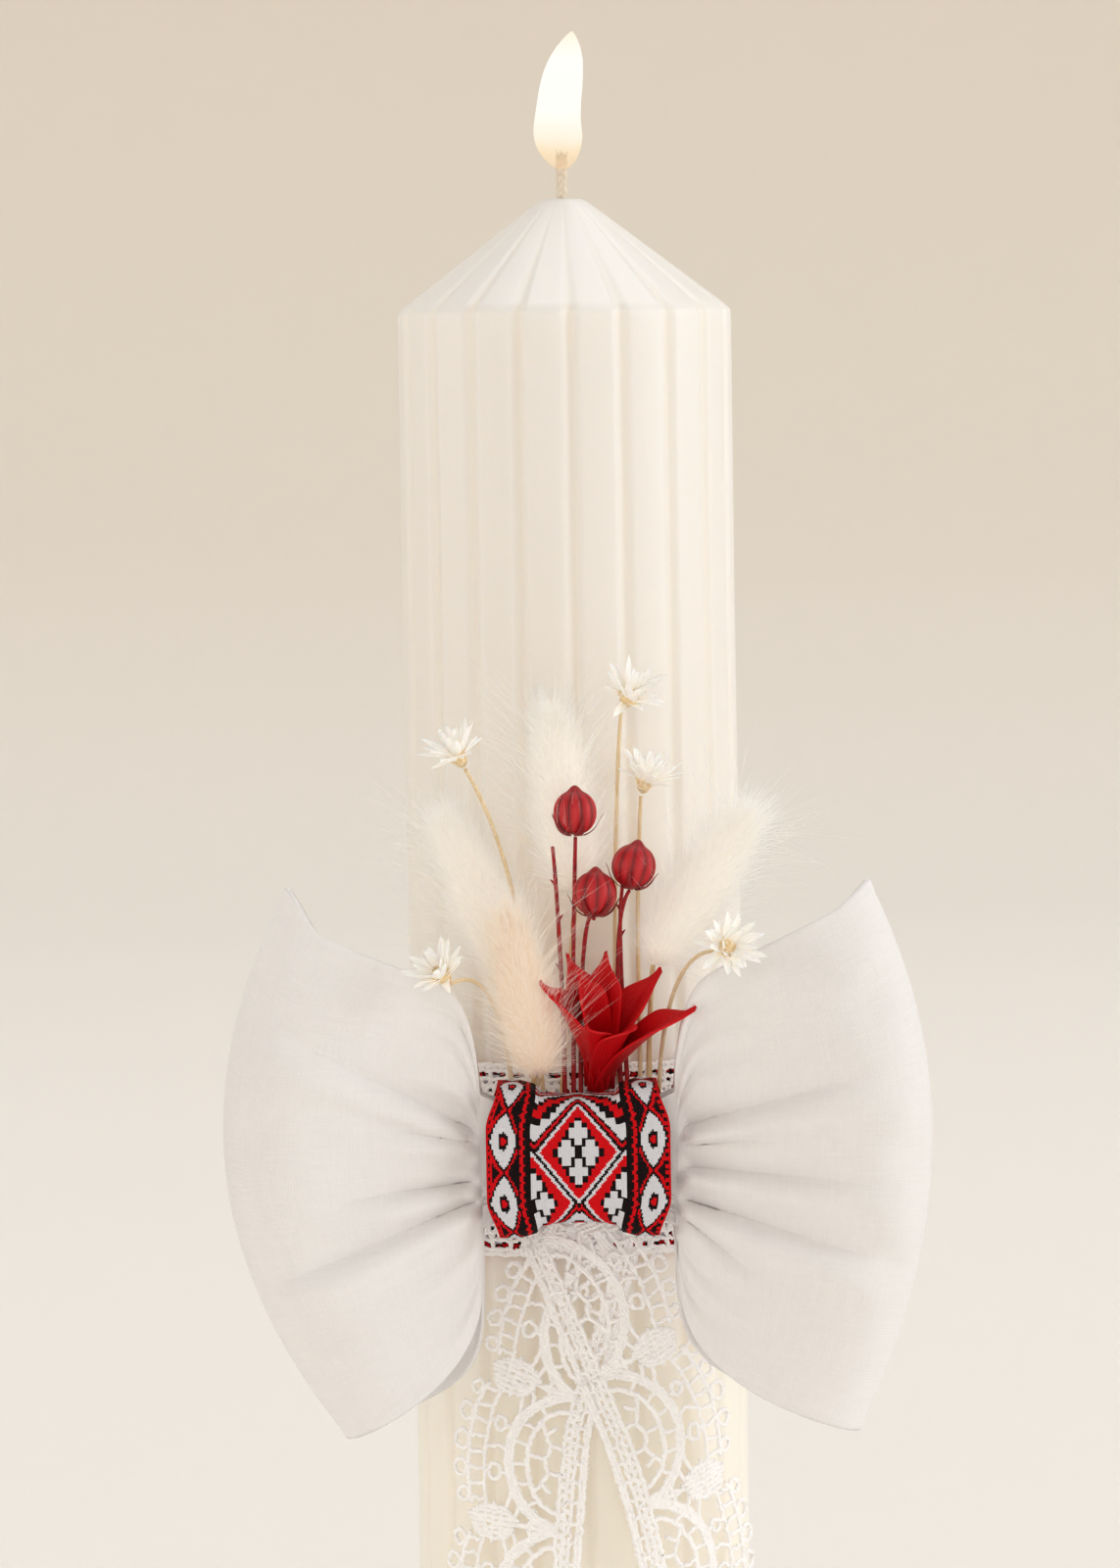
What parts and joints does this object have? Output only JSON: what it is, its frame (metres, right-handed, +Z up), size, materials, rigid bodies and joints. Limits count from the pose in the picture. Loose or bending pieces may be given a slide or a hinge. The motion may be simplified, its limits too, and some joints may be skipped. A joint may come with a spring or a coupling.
{
  "type": "unity candle",
  "caption": "Ribbed ivory pillar candle with a lit wick, dressed with a linen bow, a woven folk ribbon, hanging lace tails and a small bouquet of dried flowers.",
  "frame": {"origin": "middle of the candle's flat base, on the candle's axis", "axes": "+Z up along the candle's axis, the bow faces -Y, +X to the right of someone who faces the bow"},
  "size_m": [0.124, 0.098, 0.3799],
  "materials": {
    "wax": "satin",
    "wick_cotton": "matte",
    "flame": "gloss",
    "woven_ribbon": "matte",
    "lace": "matte",
    "linen": "matte",
    "thread": "matte",
    "grass_fluff": "matte",
    "dry_stem": "matte",
    "star_petals": "matte",
    "red_bract": "satin",
    "flax_red": "satin",
    "tape": "matte"
  },
  "bodies": {
    "candle": {"candle_body": "wax", "wick": "wick_cotton", "flame": "flame"},
    "ribbon_ring": {"candle_band": "woven_ribbon"},
    "bow": {"lace_wrap": "lace", "lace_cross_left": "lace", "lace_cross_right": "lace", "bow_loop_left": "linen", "bow_loop_right": "linen", "gather_thread": "thread", "knot_band": "woven_ribbon", "grass_head_1": "grass_fluff", "grass_head_2": "grass_fluff", "grass_head_3": "grass_fluff", "grass_head_4": "grass_fluff", "grass_stem_1": "dry_stem", "grass_stem_2": "dry_stem", "grass_stem_3": "dry_stem", "grass_stem_4": "dry_stem", "star_flower_1": "star_petals", "star_flower_2": "star_petals", "star_flower_3": "star_petals", "star_flower_4": "star_petals", "star_flower_5": "star_petals", "star_stem_1": "dry_stem", "star_stem_2": "dry_stem", "star_stem_3": "dry_stem", "star_stem_4": "dry_stem", "star_stem_5": "dry_stem", "red_flower": "red_bract", "flower_stem": "red_bract", "stem_tape": "tape", "flax_pod_1": "flax_red", "flax_pod_2": "flax_red", "flax_pod_3": "flax_red", "flax_stem_1": "flax_red", "flax_stem_2": "flax_red", "flax_stem_3": "flax_red", "flax_twig_1": "flax_red", "flax_twig_2": "flax_red"},
    "tail_left": {"lace_tail_left": "lace"},
    "tail_right": {"lace_tail_right": "lace"}
  },
  "joints": [
    {"name": "sash_slide", "type": "slide", "parent": "candle", "child": "ribbon_ring", "axis": [0, 0, 1], "range_m": [-0.02, 0.24]},
    {"name": "sash_turn", "type": "hinge", "parent": "ribbon_ring", "child": "bow", "pos_m": [0, 0, 0.18], "axis": [0, 0, 1], "continuous": true},
    {"name": "tail_left_lift", "type": "hinge", "parent": "bow", "child": "tail_left", "pos_m": [0, -0.0334, 0.135], "axis": [-1, 0, 0], "range_deg": [0, 70]},
    {"name": "tail_right_lift", "type": "hinge", "parent": "bow", "child": "tail_right", "pos_m": [0, -0.0345, 0.135], "axis": [-1, 0, 0], "range_deg": [0, 70]}
  ]
}
